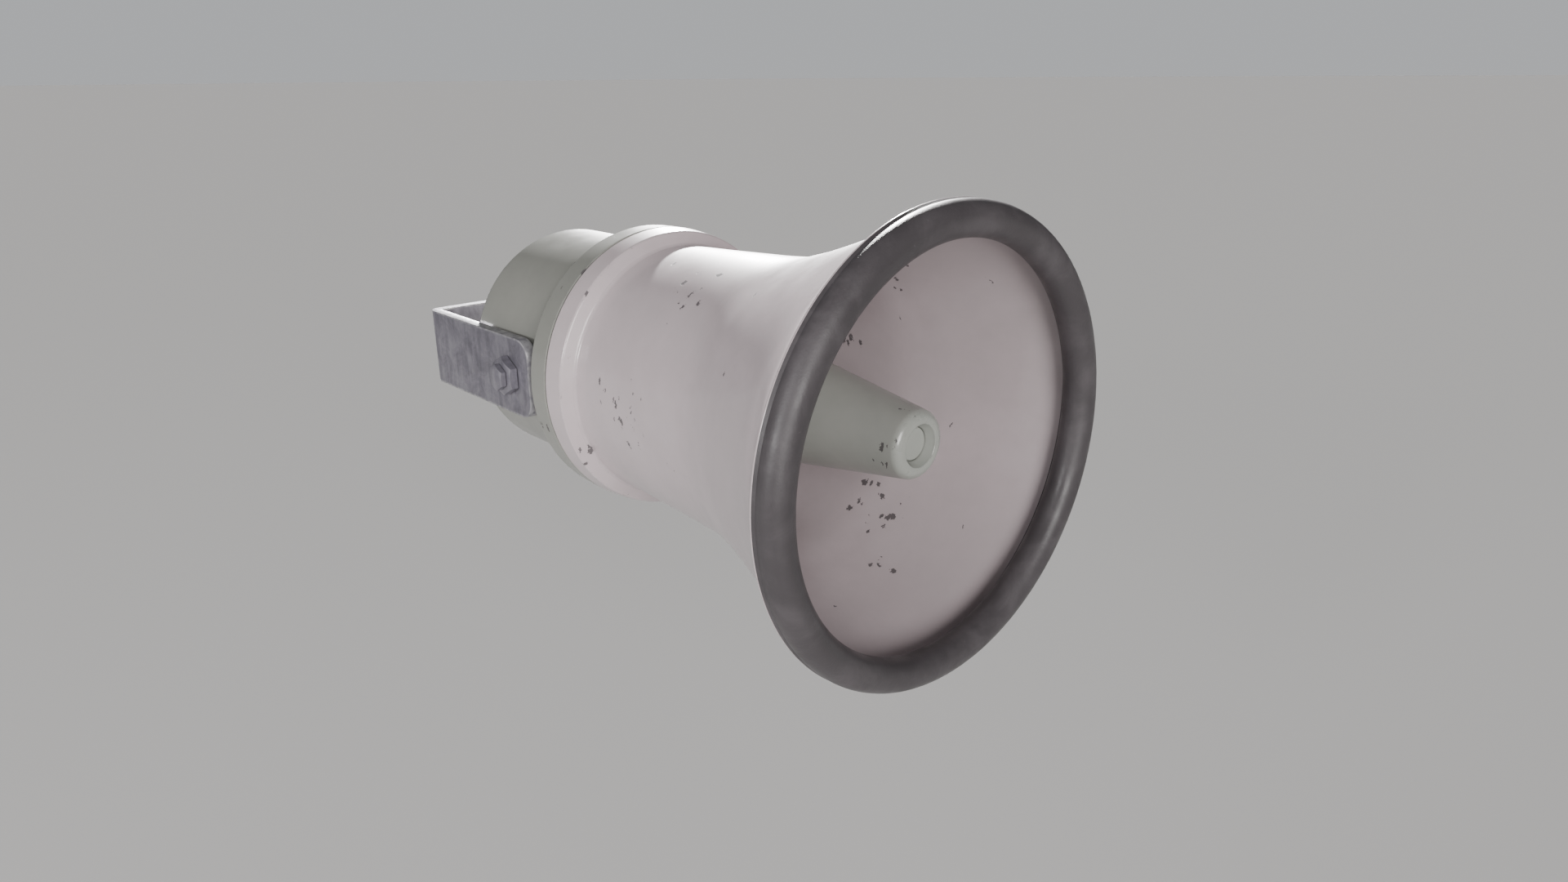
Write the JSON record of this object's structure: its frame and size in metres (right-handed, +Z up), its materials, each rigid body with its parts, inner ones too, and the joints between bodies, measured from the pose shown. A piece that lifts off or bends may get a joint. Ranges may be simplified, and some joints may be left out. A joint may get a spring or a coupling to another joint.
{
  "type": "reflex horn loudspeaker",
  "caption": "Round reflex horn loudspeaker with a flared painted bell, rubber-edged mouth, drum-shaped rear cover and a U bracket that lets it tilt.",
  "frame": {"origin": "centre of the bracket's flat back, which is bolted to a wall, post or vehicle", "axes": "+Y points out of the bracket's back into what holds it, so the mouth faces -Y; +Z is up; X runs along the tilt axis"},
  "size_m": [0.2158, 0.3477, 0.2158],
  "materials": {
    "bell_paint": "satin off-white paint with small chips",
    "grey_paint": "satin grey-green paint with worn edges",
    "rubber": "black satin rubber",
    "galvanised_steel": "weathered galvanised steel",
    "steel": "zinc-plated steel",
    "cast_aluminium": "as cast",
    "black_plastic": "moulded nylon",
    "ferrite": "sintered ferrite",
    "copper": "enamelled copper winding",
    "brass": "turned brass",
    "phenolic_film": "thin resin-dipped film"
  },
  "bodies": {
    "bracket": {"bracket": "galvanised_steel"},
    "horn": {"bell": "bell_paint", "driver_housing": "black_plastic", "driver_screw_1": "steel", "driver_screw_2": "steel", "driver_screw_3": "steel", "driver_screw_4": "steel", "gland_body": "black_plastic", "gland_locknut": "black_plastic", "gland_nut": "black_plastic", "gland_seal": "rubber", "horn_base": "cast_aluminium", "magnet": "ferrite", "nose_cap": "grey_paint", "nose_screw": "steel", "phase_plug": "black_plastic", "pivot_bolt_left": "galvanised_steel", "pivot_bolt_right": "galvanised_steel", "pivot_bush_left": "galvanised_steel", "pivot_bush_right": "galvanised_steel", "pivot_insert_left": "steel", "pivot_insert_right": "steel", "rear_cover": "grey_paint", "reflector": "grey_paint", "reflector_bridge": "cast_aluminium", "reflector_post_1": "cast_aluminium", "reflector_post_2": "cast_aluminium", "reflector_post_3": "cast_aluminium", "rim_bead": "rubber", "seam_gasket": "rubber", "seam_nut_1": "steel", "seam_nut_2": "steel", "seam_nut_3": "steel", "seam_nut_4": "steel", "seam_screw_1": "steel", "seam_screw_2": "steel", "seam_screw_3": "steel", "seam_screw_4": "steel", "terminal_block": "black_plastic", "terminal_screw_1": "brass", "terminal_screw_2": "brass", "top_plate": "steel", "transformer_coil": "copper", "transformer_core": "steel", "transformer_screw_1": "steel", "transformer_screw_2": "steel", "yoke": "steel"},
    "diaphragm": {"diaphragm": "phenolic_film", "voice_coil": "copper"}
  },
  "joints": [
    {"name": "bracket_tilt", "type": "hinge", "parent": "bracket", "child": "horn", "pos_m": [0, -0.094, 0], "axis": [1, 0, 0], "range_deg": [-75, 75]},
    {"name": "diaphragm_travel", "type": "slide", "parent": "horn", "child": "diaphragm", "axis": [0, -1, 0], "range_m": [-0.0004, 0.0004], "stiffness_N_per_m": 400}
  ]
}
